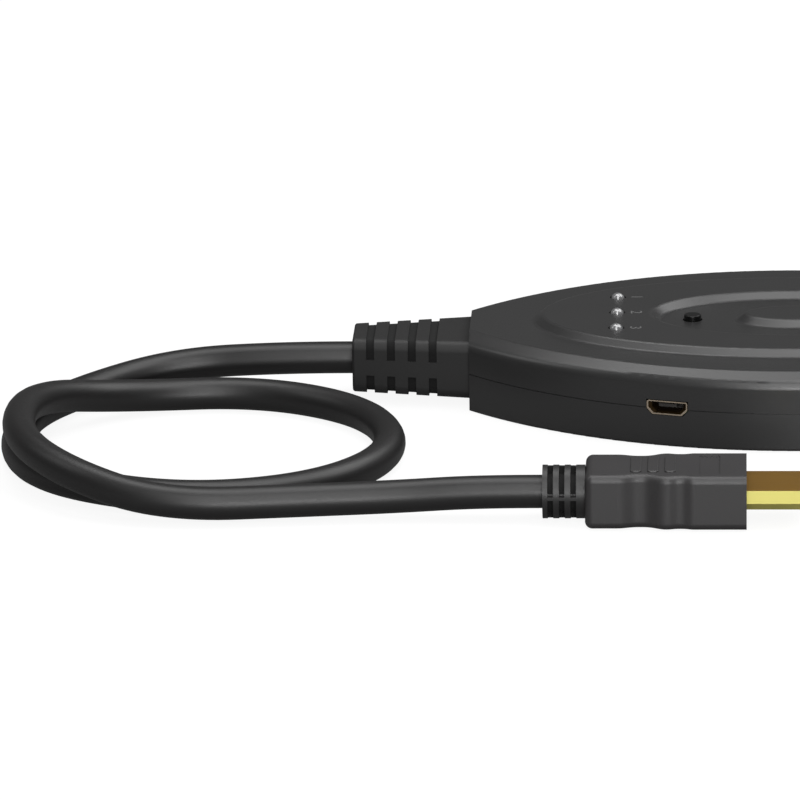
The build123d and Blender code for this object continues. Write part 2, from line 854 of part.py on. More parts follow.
# Strain relief: slotted taper outside, neck through the wall, flange inside
with BuildPart() as relief_slots:
    for index in range(relief_slot_count):
        x = relief_tip_x + relief_slot_from_tip + index * relief_slot_spacing
        for side in (1, -1):
            z = parting_height + side * (relief_bridge + relief_root_height) / 2
            with Locations((x, 0, z)):
                Box(
                    relief_slot_width,
                    relief_root_width,
                    relief_root_height,
                    align=(Align.MIN, Align.CENTER, Align.CENTER),
                )
    add(relief_form(relief_slot_depth), mode=Mode.SUBTRACT)

with BuildPart() as cord_relief:
    add(relief_form(0))
    fillet(cord_relief.faces().sort_by(Axis.X)[0].edges(), relief_tip_round)
    add(relief_slots.part, mode=Mode.SUBTRACT)
    with BuildSketch(Plane(origin=(cable_face_x, 0, parting_height), x_dir=(0, 1, 0), z_dir=(1, 0, 0))):
        RectangleRounded(relief_neck_width, relief_neck_height, relief_round)
    extrude(amount=wall + relief_hole_gap)
    with BuildSketch(
        Plane(origin=(cable_face_x + wall + relief_hole_gap, 0, parting_height), x_dir=(0, 1, 0), z_dir=(1, 0, 0))
    ):
        RectangleRounded(relief_flange_width, relief_flange_height, relief_round)
    extrude(amount=relief_flange)
    with Locations((relief_tip_x, 0, parting_height)):
        Cylinder(
            cord_diameter / 2 + fit_gap,
            relief_length + wall + relief_hole_gap + relief_flange,
            rotation=(0, 90, 0),
            align=UPWARDS,
            mode=Mode.SUBTRACT,
        )
save(cord_relief.part, "cord_relief")

# Lead: held end in the strain relief, wires to the board, and the free stretch
with BuildPart() as cord_held_end:
    with Locations((relief_tip_x, 0, parting_height)):
        Cylinder(cord_diameter / 2, relief_length + cord_stub_inside, rotation=(0, 90, 0), align=UPWARDS)
save(cord_held_end.part, "cord_held_end")

wire_places = [index - (wire_count - 1) / 2 for index in range(wire_count)]
lead_wires = wire_run(
    [
        (
            (cable_face_x + cord_stub_inside + wire_end_gap, place * wire_spacing, parting_height),
            (board_start_x + pad_inset, place * pad_spacing, board_top_height + wire_diameter / 2),
        )
        for place in wire_places
    ]
)
save(lead_wires, "lead_wires")

cord_radii = []
for before, corner, after in zip(cord_points, cord_points[1:], cord_points[2:]):
    run_in = Vector(*corner) - Vector(*before)
    run_out = Vector(*after) - Vector(*corner)
    shorter = min(run_in.length, run_out.length)
    turn = radians(run_in.get_angle(run_out))
    cord_radii.append(cord_corner_share * shorter / tan(turn / 2))
print("cord bend radii", [round(radius, 1) for radius in cord_radii])

with BuildPart() as lead_cord:
    with BuildLine():
        cord_path = FilletPolyline(*cord_points, radius=cord_radii)
    with BuildSketch(Plane(origin=cord_path @ 0, z_dir=cord_path % 0)):
        Circle(cord_diameter / 2)
    sweep()
cord_volume = pi * cord_diameter ** 2 / 4 * cord_path.length
print("cord length", round(cord_path.length, 1), "volume share", round(lead_cord.part.volume / cord_volume, 4))
save(lead_cord.part, "lead_cord")

# Collar: three rings of slots round a core, parted by four spines, on the lead's end
collar_plane = Plane(origin=(collar_tip_x, plug_y, plug_z), x_dir=(0, 1, 0), z_dir=(1, 0, 0))
with BuildPart() as plug_collar:
    with BuildSketch(collar_plane):
        Circle(collar_diameter / 2)
    extrude(amount=collar_length)
    for index in range(collar_slot_count):
        with BuildSketch(collar_plane.offset(collar_slot_from_tip + index * collar_slot_spacing)):
            Circle(collar_diameter / 2 + overrun)
            Circle(collar_core_diameter / 2, mode=Mode.SUBTRACT)
            Rectangle(collar_spine, collar_diameter + 2 * overrun, mode=Mode.SUBTRACT)
            Rectangle(collar_diameter + 2 * overrun, collar_spine, mode=Mode.SUBTRACT)
        extrude(amount=collar_slot_width, mode=Mode.SUBTRACT)
    with BuildSketch(collar_plane):
        Circle(cord_diameter / 2 + fit_gap)
    extrude(amount=collar_length, mode=Mode.SUBTRACT)
save(plug_collar.part, "plug_collar")

with BuildPart() as plug_cord_end:
    with BuildSketch(collar_plane):
        Circle(cord_diameter / 2)
    extrude(amount=collar_length + collar_grip)
save(plug_cord_end.part, "plug_cord_end")

# Plug body: flat sides that draw in to a waist, swell, dip and swell again for the fingers
plug_face = Plane(origin=(plug_front_x, plug_y, plug_z), x_dir=(0, 1, 0), z_dir=(1, 0, 0))
plug_half = plug_body_width / 2
grip_levels = (0, -grip_waist, grip_bulge, grip_dip, grip_front)


def grip_side(side):
    """One side of the plug body from its rear corner to its front, in the open line."""
    here = Vector(plug_rear_x, side * plug_half)
    for (start_share, stop_share), level, new_level in zip(grip_slope_shares, grip_levels, grip_levels[1:]):
        start = Vector(plug_rear_x + start_share * plug_body_length, side * (plug_half + level))
        stop = Vector(plug_rear_x + stop_share * plug_body_length, side * (plug_half + new_level))
        yield Line(here, start)
        yield Spline(start, stop, tangents=[(1, 0), (1, 0)])
        here = stop
    yield Line(here, Vector(plug_front_x, here.Y))


with BuildPart() as plug_body:
    with BuildSketch(Plane(origin=(0, plug_y, 0))):
        with BuildLine():
            far_side = [*grip_side(1)]
            near_side = [*grip_side(-1)]
            Line(far_side[0] @ 0, near_side[0] @ 0)
            Line(far_side[-1] @ 1, near_side[-1] @ 1)
        make_face()
    extrude(amount=plug_body_height)
    fillet(plug_body.edges().filter_by(Axis.Z).group_by(Axis.X)[0], plug_corner_round)
    rims = plug_body.faces().sort_by(Axis.Z)
    rim_edges = rims[0].edges() + rims[-1].edges()
    fillet(rim_edges.filter_by(lambda edge: edge.center().X < plug_front_x - fit_gap), plug_body_round)
    with BuildSketch(Plane(origin=(0, plug_y, plug_body_height))):
        for index in range(pad_count):
            share = pad_first_share + index * pad_step_share
            with Locations((plug_rear_x + share * plug_body_length, 0)):
                RectangleRounded(pad_width, pad_reach, pad_corner_round)
    extrude(amount=pad_rise)
    fillet(plug_body.faces().group_by(Axis.Z)[-1].edges(), pad_edge_round)
    with BuildSketch(Plane(origin=(plug_rear_x + panel_place_share * plug_body_length, plug_y, plug_body_height))):
        Rectangle(panel_length, panel_reach)
    extrude(amount=-panel_depth, mode=Mode.SUBTRACT)
    with BuildSketch(plug_face):
        add(port_outline(plug_width, plug_height, plug_bevel_run, plug_bevel_drop))
    extrude(amount=-plug_shell_inside, mode=Mode.SUBTRACT)
    with Locations((plug_front_x - plug_shell_inside, plug_y, plug_z)):
        Box(
            plug_body_length - plug_shell_inside - plug_cavity_rear_wall,
            plug_cavity_width,
            plug_cavity_height,
            align=(Align.MAX, Align.CENTER, Align.CENTER),
            mode=Mode.SUBTRACT,
        )
    with BuildSketch(collar_plane.offset(collar_length)):
        Circle(cord_diameter / 2 + fit_gap)
    extrude(amount=plug_cavity_rear_wall, mode=Mode.SUBTRACT)
save(plug_body.part, "plug_body")

# Plug shell, the block inside it with its slot, and its contacts
plug_back = plug_face.offset(-plug_shell_inside)
plug_inner_width = plug_width - 2 * plug_shell_wall
plug_inner_height = plug_height - 2 * plug_shell_wall
with BuildPart() as plug_shell:
    with BuildSketch(plug_back):
        add(port_outline(plug_width, plug_height, plug_bevel_run, plug_bevel_drop))
        add(
            port_outline(plug_inner_width, plug_inner_height, plug_bevel_run, plug_bevel_drop),
            mode=Mode.SUBTRACT,
        )
    extrude(amount=plug_shell_inside + plug_reach)
save(plug_shell.part, "plug_shell")

plug_insulator_front = plug_front_x + plug_reach - plug_insulator_setback
plug_tail_x = plug_front_x - plug_shell_inside - plug_tail_reach
with BuildPart() as plug_contacts:
    for index in range(contact_count):
        across = (index - (contact_count - 1) / 2) * contact_spacing
        side = 1 if index % 2 == 0 else -1
        rise = side * (plug_slot_height + contact_thickness) / 2
        front = plug_insulator_front - contact_setback
        with Locations(((front + plug_tail_x) / 2, plug_y + across, plug_z + rise)):
            Box(front - plug_tail_x, contact_width, contact_thickness)
save(plug_contacts.part, "plug_contacts")

with BuildPart() as plug_insulator:
    with BuildSketch(plug_back):
        add(
            port_outline(
                plug_inner_width - 2 * fit_gap,
                plug_inner_height - 2 * fit_gap,
                plug_bevel_run,
                plug_bevel_drop,
            )
        )
    extrude(amount=plug_shell_inside + plug_reach - plug_insulator_setback)
    with Locations((plug_insulator_front, plug_y, plug_z)):
        Box(
            plug_slot_depth,
            plug_slot_width,
            plug_slot_height,
            align=(Align.MAX, Align.CENTER, Align.CENTER),
            mode=Mode.SUBTRACT,
        )
    add(plug_contacts.part, mode=Mode.SUBTRACT)
save(plug_insulator.part, "plug_insulator")

# Wires in the plug, in two rows that end on the contacts' tails
plug_wires_start = plug_rear_x + collar_grip + wire_end_gap
plug_wires_stop = plug_tail_x + plug_tail_reach - wire_end_gap
plug_wire_end = plug_slot_height / 2 - wire_diameter / 2
plug_wires = wire_run(
    [
        (
            (plug_wires_start, plug_y + place * wire_spacing, plug_z + side * plug_wire_rise),
            (plug_wires_stop, plug_y + place * plug_wire_spacing, plug_z + side * plug_wire_end),
        )
        for place, side in zip(wire_places, (1, -1) * wire_count)
    ]
)
save(plug_wires, "plug_wires")
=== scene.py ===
"""Looks of a leaf-shaped video switch box with a captive lead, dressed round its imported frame."""

import logging
import math
from dataclasses import dataclass
from enum import Enum

import bpy
from mathutils import Matrix, Vector


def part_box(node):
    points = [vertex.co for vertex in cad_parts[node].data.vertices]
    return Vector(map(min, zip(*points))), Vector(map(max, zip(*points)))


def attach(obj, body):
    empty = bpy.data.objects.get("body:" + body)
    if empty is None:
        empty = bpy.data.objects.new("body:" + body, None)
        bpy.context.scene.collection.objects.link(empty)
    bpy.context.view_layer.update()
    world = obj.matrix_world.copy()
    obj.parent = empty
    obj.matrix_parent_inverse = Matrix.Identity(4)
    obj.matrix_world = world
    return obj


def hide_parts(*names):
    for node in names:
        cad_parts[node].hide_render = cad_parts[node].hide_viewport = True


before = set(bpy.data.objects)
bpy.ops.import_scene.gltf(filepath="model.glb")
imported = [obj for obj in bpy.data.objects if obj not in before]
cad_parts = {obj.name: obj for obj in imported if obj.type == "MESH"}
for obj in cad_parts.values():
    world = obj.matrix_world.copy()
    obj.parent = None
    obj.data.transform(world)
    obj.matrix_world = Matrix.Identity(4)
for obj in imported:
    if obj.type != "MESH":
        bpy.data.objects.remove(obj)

log = logging.getLogger("switch_box")

MM = 0.001
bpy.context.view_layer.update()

Point = tuple[float, float, float]
Colour = tuple[float, float, float]

# Sockets of the Mix node when it mixes colours.
MIX_SHARE = 0
MIX_LOW = 6
MIX_HIGH = 7
MIX_COLOUR = 2

# Values that several finishes share.
FINE_DETAIL = 3.0
FINE_ROUGHNESS = 0.6
NOISE_MIDDLE = 0.5
GRAIN_SIZE = 0.28 * MM
GRAIN_HEIGHT = 0.012 * MM
PLASTIC_IOR = 1.5

X_AXIS = (1, 0, 0)
Z_AXIS = (0, 0, 1)
LAMP_NUMBERS = (1, 2, 3)
INPUT_NUMBERS = (1, 2, 3)
WHITE = (1.0, 1.0, 1.0, 1.0)


class Body(Enum):
    """The rigid bodies of the frame."""

    CASING = "casing"
    BUTTON = "button"


class Wire:
    """A shader socket that can be used in expressions, where each operator adds a Math node."""

    def __init__(self, graph: "Graph", socket: bpy.types.NodeSocket) -> None:
        """Starts a wire at an output, in the graph that new nodes go into."""
        self.graph = graph
        self.socket = socket

    def maths(self, operation: str, first: "Wire | float", second: "Wire | float") -> "Wire":
        """Adds one Math node that works on two values or wires."""
        return self.graph.node("ShaderNodeMath", {"operation": operation}, {0: first, 1: second})

    def __add__(self, other: "Wire | float") -> "Wire":
        """This wire plus other."""
        return self.maths("ADD", self, other)

    def __radd__(self, other: float) -> "Wire":
        """other plus this wire."""
        return self.maths("ADD", other, self)

    def __sub__(self, other: "Wire | float") -> "Wire":
        """This wire less other."""
        return self.maths("SUBTRACT", self, other)

    def __rsub__(self, other: float) -> "Wire":
        """other less this wire."""
        return self.maths("SUBTRACT", other, self)

    def __mul__(self, other: "Wire | float") -> "Wire":
        """This wire times other."""
        return self.maths("MULTIPLY", self, other)

    def __rmul__(self, other: float) -> "Wire":
        """other times this wire."""
        return self.maths("MULTIPLY", other, self)


class Graph:
    """The node tree of one finish, with a Principled surface to feed."""

    def __init__(self, name: str) -> None:
        """Args:
            name: the material's name.
        """
        self.material = bpy.data.materials.new(name)
        self.material.use_nodes = True
        self.tree = self.material.node_tree
        self.surface = self.tree.nodes["Principled BSDF"]
        place = self.tree.nodes.new("ShaderNodeTexCoord")
        self.place = Wire(self, place.outputs["Object"])
        self.facing = Wire(self, place.outputs["Normal"])

    def node(
        self,
        kind: str,
        settings: dict[str, object] | None = None,
        values: dict[int | str, "Wire | float | tuple"] | None = None,
        output: int | str = 0,
    ) -> Wire:
        """Adds a node of any kind.

        Args:
            kind: the node's type.
            settings: its attributes, which are set first.
            values: what goes into its inputs, by index or name.
            output: the output that the result starts from.

        Returns:
            The wire from that output.
        """
        made = self.tree.nodes.new(kind)
        for name, value in (settings or {}).items():
            setattr(made, name, value)
        for key, value in (values or {}).items():
            if isinstance(value, Wire):
                self.tree.links.new(value.socket, made.inputs[key])
            else:
                made.inputs[key].default_value = value
        return Wire(self, made.outputs[output])

    def noise(
        self, size: float, detail: float = 2.0, roughness: float = 0.5, stretch: Point = (1, 1, 1)
    ) -> Wire:
        """Noise over the piece.

        Args:
            size: how large its features are, in metres.
            detail: how many finer layers it has.
            roughness: how strong the finer layers are.
            stretch: factors on the three directions.

        Returns:
            A wire of values about one half.
        """
        place = self.node("ShaderNodeMapping", {}, {"Vector": self.place, "Scale": stretch})
        values = {"Vector": place, "Scale": 1 / size, "Detail": detail, "Roughness": roughness}
        return self.node("ShaderNodeTexNoise", {}, values, "Fac")

    def dot(self, wire: Wire, axis: Point) -> Wire:
        """Takes the part of a wire of vectors that lies along an axis of length one."""
        return self.node("ShaderNodeVectorMath", {"operation": "DOT_PRODUCT"}, {0: wire, 1: axis}, "Value")

    def along(self, axis: Point, start: Point) -> Wire:
        """Measures, in metres, how far the surface lies past a start along an axis of length one."""
        return self.dot(self.place, axis) - Vector(axis).dot(Vector(start))

    def blend(self, share: Wire, low: Colour, high: Colour) -> Wire:
        """Mixes two linear colours, from low where the share is nought to high where it is one."""
        values = {MIX_SHARE: share, MIX_LOW: (*low, 1.0), MIX_HIGH: (*high, 1.0)}
        return self.node("ShaderNodeMix", {"data_type": "RGBA"}, values, MIX_COLOUR)

    def spread(self, wire: Wire, low: float, high: float) -> Wire:
        """Maps the values from low to high to nought to one, and clamps them."""
        values = {"Value": wire, "From Min": low, "From Max": high}
        return self.node("ShaderNodeMapRange", {"clamp": True}, values)

    def bump(self, height: Wire, strength: float, distance: float) -> None:
        """Roughens the surface.

        Args:
            height: nought to one.
            strength: the bump's strength.
            distance: the height of a value of one, in metres.
        """
        values = {"Height": height, "Strength": strength, "Distance": distance}
        normal = self.node("ShaderNodeBump", {}, values)
        self.tree.links.new(normal.socket, self.surface.inputs["Normal"])

    def feed(self, **sockets: "Wire | float | tuple") -> None:
        """Sets or links inputs of the surface.

        Args:
            sockets: what goes into each input, named with _ for a space.
        """
        for name, value in sockets.items():
            socket = self.surface.inputs[name.replace("_", " ")]
            if isinstance(value, Wire):
                self.tree.links.new(value.socket, socket)
            else:
                socket.default_value = value


@dataclass(frozen=True)
class MouldedPlastic:
    """Dull moulded plastic or vinyl, with the mould's fine grain and a little unevenness."""

    name: str
    colour: Colour
    roughness: float
    grain: float = 0.35
    grain_size: float = GRAIN_SIZE
    grain_height: float = GRAIN_HEIGHT
    cloud_grains: int = 60
    unevenness: float = 0.12
    fine_roughness: float = 0.2
    broad_roughness: float = 0.08
    gloss: float = 0.75

    def make(self) -> bpy.types.Material:
        """Returns:
            The finish as a material.
        """
        graph = Graph(self.name)
        fine = graph.noise(self.grain_size, FINE_DETAIL, FINE_ROUGHNESS)
        broad = graph.noise(self.cloud_grains * self.grain_size)
        low = tuple(channel * (1 - self.unevenness) for channel in self.colour)
        high = tuple(channel * (1 + self.unevenness) for channel in self.colour)
        graph.feed(
            Base_Color=graph.blend(broad * 0.5 + fine * 0.5, low, high),
            Roughness=self.roughness
            + (fine - NOISE_MIDDLE) * self.fine_roughness
            + (broad - NOISE_MIDDLE) * self.broad_roughness,
            IOR=PLASTIC_IOR,
            Specular_IOR_Level=self.gloss,
        )
        graph.bump(fine, self.grain, self.grain_height)
        return graph.material


@dataclass(frozen=True)
class PlatedMetal:
    """Rolled and plated sheet metal with faint lines, and an optional painted shade on its upward faces.

    Attributes:
        film: the darker colour painted on upward faces as painted shade, or None for the same colour all
            over.
        film_tilts: how far up a face looks where the painted shade starts and where it is whole.
    """

    name: str
    colour: Colour
    roughness: float
    film: Colour | None = None
    film_tilts: tuple[float, float] = (0.5, 0.9)
    line_width: float = 0.35 * MM
    line_stretch: Point = (0.06, 1, 1)
    line_height: float = 0.004 * MM
    line_strength: float = 0.1
    line_roughness: float = 0.12
    cloud_size: float = 3 * MM
    cloud_roughness: float = 0.06
    cloud_range: tuple[float, float] = (0.3, 0.7)
    darkening: float = 0.86

    def make(self) -> bpy.types.Material:
        """Returns:
            The finish as a material.
        """
        graph = Graph(self.name)
        line = graph.noise(self.line_width, FINE_DETAIL, FINE_ROUGHNESS, self.line_stretch)
        cloud = graph.noise(self.cloud_size)
        if self.film:
            # Painted shade: upward faces are painted darker, in place of the dark reflection that a top
            # face shows.
            upward = graph.spread(graph.dot(graph.facing, Z_AXIS), *self.film_tilts)
            colour = graph.blend(upward, self.colour, self.film)
        else:
            darker = tuple(channel * self.darkening for channel in self.colour)
            patches = graph.spread(line * 0.5 + cloud * 0.5, *self.cloud_range)
            colour = graph.blend(patches, darker, self.colour)
        graph.feed(
            Base_Color=colour,
            Metallic=1.0,
            Roughness=self.roughness
            + (line - NOISE_MIDDLE) * self.line_roughness
            + (cloud - NOISE_MIDDLE) * self.cloud_roughness,
        )
        graph.bump(line, self.line_strength, self.line_height)
        return graph.material


@dataclass(frozen=True)
class SlottedVinyl:
    """Moulded vinyl whose slots are painted darker than its ribs, as painted shade in the recesses, in a
    row along the lead.

    Attributes:
        first: where the first slot starts on the x axis, in metres.
        pitch: from one slot's start to the next one's.
        width: how wide a slot is along the lead.
        count: how many slots the row has.
        level: the height of the bridge's middle.
        bridge: the height of the rib that parts upper slots from lower ones.
    """

    name: str
    colour: Colour
    roughness: float
    first: float
    pitch: float
    width: float
    count: int
    level: float
    bridge: float
    # Painted shade: the colour that the slot floors are painted, darker than the ribs.
    slot_colour: Colour = (0.004, 0.004, 0.004)
    slot_roughness: float = 0.5
    fine_roughness: float = 0.2
    grain: float = 0.3
    gloss: float = 0.6

    def make(self) -> bpy.types.Material:
        """Returns:
            The finish as a material.
        """
        graph = Graph(self.name)
        fine = graph.noise(GRAIN_SIZE, FINE_DETAIL, FINE_ROUGHNESS)
        turns = graph.along(X_AXIS, (self.first, 0, 0)) * (1 / self.pitch)
        in_slot = turns.maths("LESS_THAN", turns.maths("FRACT", turns, 0.0), self.width / self.pitch)
        in_row = turns.maths("GREATER_THAN", turns, 0.0) * turns.maths("LESS_THAN", turns, self.count)
        rise = graph.along(Z_AXIS, (0, 0, self.level))
        off_bridge = rise.maths("GREATER_THAN", rise.maths("ABSOLUTE", rise, 0.0), self.bridge / 2)
        # Painted shade: where the slot floors lie, which are painted dark and made rougher.
        slot = in_slot * in_row * off_bridge
        graph.feed(
            Base_Color=graph.blend(slot, self.colour, self.slot_colour),
            Roughness=self.roughness
            + (fine - NOISE_MIDDLE) * self.fine_roughness
            + slot * self.slot_roughness,
            IOR=PLASTIC_IOR,
            Specular_IOR_Level=self.gloss,
        )
        graph.bump(fine, self.grain, GRAIN_HEIGHT)
        return graph.material


@dataclass(frozen=True)
class RimmedMetal:
    """Pressed and plated sheet metal whose mouth behind the paler cut rim is painted dark, as painted shade
    inside the socket.

    Attributes:
        axis: the way out of the mouth, of length one.
        front: a place on the rim's front, in metres.
        rim_depth: how far behind the front the rim's colour ends.
        rim_share: the share of that depth over which it is whole, before it fades.
    """

    name: str
    rim: Colour
    mouth: Colour
    axis: Point
    front: Point
    rim_depth: float = 0.09 * MM
    rim_share: float = 0.6
    mouth_metal: float = 0.8
    rim_dullness: float = 0.55
    roughness: float = 0.38
    cloud_size: float = 0.6 * MM
    cloud_roughness: float = 0.1

    def make(self) -> bpy.types.Material:
        """Returns:
            The finish as a material.
        """
        graph = Graph(self.name)
        cloud = graph.noise(self.cloud_size)
        depth = graph.along(self.axis, self.front)
        share = graph.spread(depth, -self.rim_depth, -self.rim_depth * self.rim_share)
        graph.feed(
            # Painted shade: behind the rim the colour fades to the dark mouth, in place of the shade inside
            # the socket.
            Base_Color=graph.blend(share, self.mouth, self.rim),
            Metallic=self.mouth_metal - share * self.rim_dullness,
            Roughness=self.roughness + cloud * self.cloud_roughness,
        )
        return graph.material


@dataclass(frozen=True)
class ClearResin:
    """Cast resin of a lamp, smoky and very glossy."""

    name: str
    colour: Colour
    roughness: float
    clearness: float
    ior: float = 2.1
    gloss: float = 1.0
    darkening: float = 0.9
    cloud_size: float = 0.8 * MM
    cloud_roughness: float = 0.04

    def make(self) -> bpy.types.Material:
        """Returns:
            The finish as a material.
        """
        graph = Graph(self.name)
        cloud = graph.noise(self.cloud_size)
        darker = tuple(channel * self.darkening for channel in self.colour)
        graph.feed(
            Base_Color=graph.blend(cloud, darker, self.colour),
            Roughness=self.roughness + cloud * self.cloud_roughness,
            IOR=self.ior,
            Specular_IOR_Level=self.gloss,
            Transmission_Weight=self.clearness,
        )
        return graph.material


@dataclass(frozen=True)
class Lacquer:
    """Board lacquer over faint copper tracks."""

    name: str
    colour: Colour
    track_colour: Colour
    track_pitch: float = 1.4 * MM
    track_unevenness: float = 0.35
    track_range: tuple[float, float] = (0.35, 0.45)
    roughness: float = 0.3
    cell_roughness: float = 0.1

    def make(self) -> bpy.types.Material:
        """Returns:
            The finish as a material.
        """
        graph = Graph(self.name)
        settings = {"distance": "MANHATTAN", "feature": "F1"}
        values = {
            "Vector": graph.place,
            "Scale": 1 / self.track_pitch,
            "Randomness": self.track_unevenness,
        }
        cells = graph.node("ShaderNodeTexVoronoi", settings, values, "Distance")
        tracks = graph.spread(cells, *self.track_range)
        graph.feed(
            Base_Color=graph.blend(tracks, self.colour, self.track_colour),
            Roughness=self.roughness + cells * self.cell_roughness,
        )
        return graph.material


class Finishes:
    """Every finish of the switch box, made once."""

    def __init__(self) -> None:
        """Makes the materials."""
        self.casing = MouldedPlastic("casing_plastic", (0.027, 0.0268, 0.027), 0.33).make()
        self.jacket = MouldedPlastic(
            "jacket", (0.009, 0.0085, 0.0086), 0.42, 0.25, grain_size=0.4 * MM, gloss=0.65
        ).make()
        self.grip = MouldedPlastic("grip_vinyl", (0.032, 0.0302, 0.0312), 0.46).make()
        self.nylon = MouldedPlastic("black_nylon", (0.014, 0.014, 0.014), 0.42, 0.2).make()
        self.tongue = MouldedPlastic("tongue_nylon", (0.05, 0.046, 0.043), 0.55, 0.2, gloss=0.4).make()
        self.gloss = MouldedPlastic("black_gloss", (0.004, 0.004, 0.004), 0.3, 0.05, gloss=0.3).make()
        self.ceramic = MouldedPlastic("tan_ceramic", (0.42, 0.3, 0.18), 0.4).make()
        self.wire = MouldedPlastic("wire_jacket", (0.3, 0.27, 0.25), 0.4).make()
        self.ink = MouldedPlastic("pale_ink", (0.13, 0.13, 0.13), 0.6, 0.1).make()
        # The gold's upward faces get a painted shade, a darker brown.
        self.gold = PlatedMetal("gold_plate", (1.0, 0.92, 0.29), 0.45, film=(0.45, 0.25, 0.05)).make()
        self.tin = PlatedMetal("tinned_metal", (0.72, 0.72, 0.7), 0.32).make()
        self.steel = PlatedMetal("screw_steel", (0.16, 0.16, 0.165), 0.38).make()
        self.resin = ClearResin("clear_resin", (0.22, 0.22, 0.225), roughness=0.2, clearness=0.1).make()
        # The power socket's mouth is painted dark behind its rim, a painted shade.
        self.rimmed = RimmedMetal(
            "power_metal",
            rim=(0.4, 0.33, 0.25),
            mouth=(0.06, 0.035, 0.012),
            axis=(-0.282723, -0.959202, 0),
            front=(-10 * MM, -39.304 * MM, 8.5 * MM),
        ).make()
        low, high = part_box("cord_relief")
        # The slots of the relief and of the collar get painted shade.
        self.relief = SlottedVinyl(
            "relief_vinyl",
            colour=(0.0128, 0.0125, 0.0125),
            roughness=0.52,
            first=low.x + 3.0 * MM,
            pitch=4.5 * MM,
            width=1.75 * MM,
            count=4,
            level=(low.z + high.z) / 2,
            bridge=3.5 * MM,
        ).make()
        low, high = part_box("plug_collar")
        self.collar = SlottedVinyl(
            "collar_vinyl",
            colour=(0.02, 0.0195, 0.0195),
            roughness=0.42,
            first=low.x + 1.05 * MM,
            pitch=2.35 * MM,
            width=1.15 * MM,
            count=3,
            level=(low.z + high.z) / 2,
            bridge=1.1 * MM,
        ).make()
        self.board = Lacquer("board_laminate", (0.012, 0.085, 0.035), (0.03, 0.16, 0.06)).make()


def dress(name: str, material: bpy.types.Material) -> None:
    """Gives a frame node its finish.

    Args:
        name: the node.
        material: its finish.
    """
    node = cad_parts[name]
    node.data.materials.clear()
    node.data.materials.append(material)
    log.info("dressed %s", name)


def finish_piece(
    piece: bpy.types.Object, body: Body, slot: str, material: bpy.types.Material, *nodes: str
) -> None:
    """Puts a new piece on its body.

    Args:
        piece: the piece, with its place in its mesh.
        body: what it rides on.
        slot: the record's material slot; it is not used.
        material: its finish.
        nodes: the frame nodes that it stands for.
    """
    piece.data.materials.clear()
    piece.data.materials.append(material)
    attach(piece, body.value)
    if nodes:
        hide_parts(*nodes)
    log.info("made %s", piece.name)


def fresh_selection() -> None:
    """Deselects every object, so that the next operator acts only on what it adds."""
    for other in bpy.context.selected_objects:
        other.select_set(False)


@dataclass
class Casing:
    """The lid, the tray, the screws and what is printed on the lid."""

    finishes: Finishes
    digit_height: float = 2.45 * MM
    digit_share: float = 0.7
    digit_widening: float = 1.3
    digit_from_lamp: float = 4.0 * MM
    digit_side_step: float = 0.2 * MM
    ink_thickness: float = 0.03 * MM

    def build(self) -> None:
        """Dresses the shells and prints the numbers."""
        dress("top_shell", self.finishes.casing)
        dress("bottom_shell", self.finishes.casing)
        dress("case_screws", self.finishes.steel)
        for number in LAMP_NUMBERS:
            self.print_digit(number)

    def print_digit(self, number: int) -> None:
        """Prints one lamp's number on the ring, read from the far side.

        Args:
            number: the lamp's number.
        """
        low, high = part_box(f"lamp_{number}")
        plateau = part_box("top_shell")[1].z
        middle = (low + high) / 2
        place = (middle.x + self.digit_from_lamp, middle.y + self.digit_side_step, plateau)
        fresh_selection()
        bpy.ops.object.text_add(location=place, rotation=(0, 0, -math.pi / 2))
        text = bpy.context.object
        text.data.body = str(number)
        text.data.align_x = "CENTER"
        text.data.align_y = "CENTER"
        text.data.size = self.digit_height / self.digit_share
        text.data.extrude = self.ink_thickness / 2
        text.scale.x = self.digit_widening
        text.data.resolution_u = 6
        bpy.ops.object.convert(target="MESH")
        digit = bpy.context.object
        digit.name = f"digit_{number}"
        bpy.ops.object.transform_apply(location=True, rotation=True, scale=True)
        finish_piece(digit, Body.CASING, "casing_plastic", self.finishes.ink)


@dataclass
class Lamps:
    """The three lamps and their leads."""

    finishes: Finishes

    def build(self) -> None:
        """Dresses the lamps."""
        for number in LAMP_NUMBERS:
            dress(f"lamp_{number}", self.finishes.resin)
        dress("lamp_leads", self.finishes.tin)


@dataclass
class Sockets:
    """The power socket in the near wall and the three inputs in the wide end."""

    finishes: Finishes

    def build(self) -> None:
        """Dresses the sockets."""
        names = ["power_socket", *(f"input_socket_{number}" for number in INPUT_NUMBERS)]
        for name in names:
            dress(f"{name}_shell", self.finishes.rimmed if name == "power_socket" else self.finishes.gold)
            dress(f"{name}_contacts", self.finishes.gold)
            dress(f"{name}_tongue", self.finishes.tongue if name == "power_socket" else self.finishes.nylon)


@dataclass
class Inside:
    """What the casing holds: the board, what is soldered to it, and the switch under the button."""

    finishes: Finishes

    def build(self) -> None:
        """Dresses the inner pieces and the button."""
        dress("circuit_board", self.finishes.board)
        for name in ("switch_chip", "voltage_regulator", "resistors", "switch_housing"):
            dress(name, self.finishes.nylon)
        for name in ("switch_chip_leads", "clock_crystal", "switch_cover", "switch_legs", "switch_dome"):
            dress(name, self.finishes.tin)
        dress("capacitors", self.finishes.ceramic)
        dress("select_button", self.finishes.gloss)


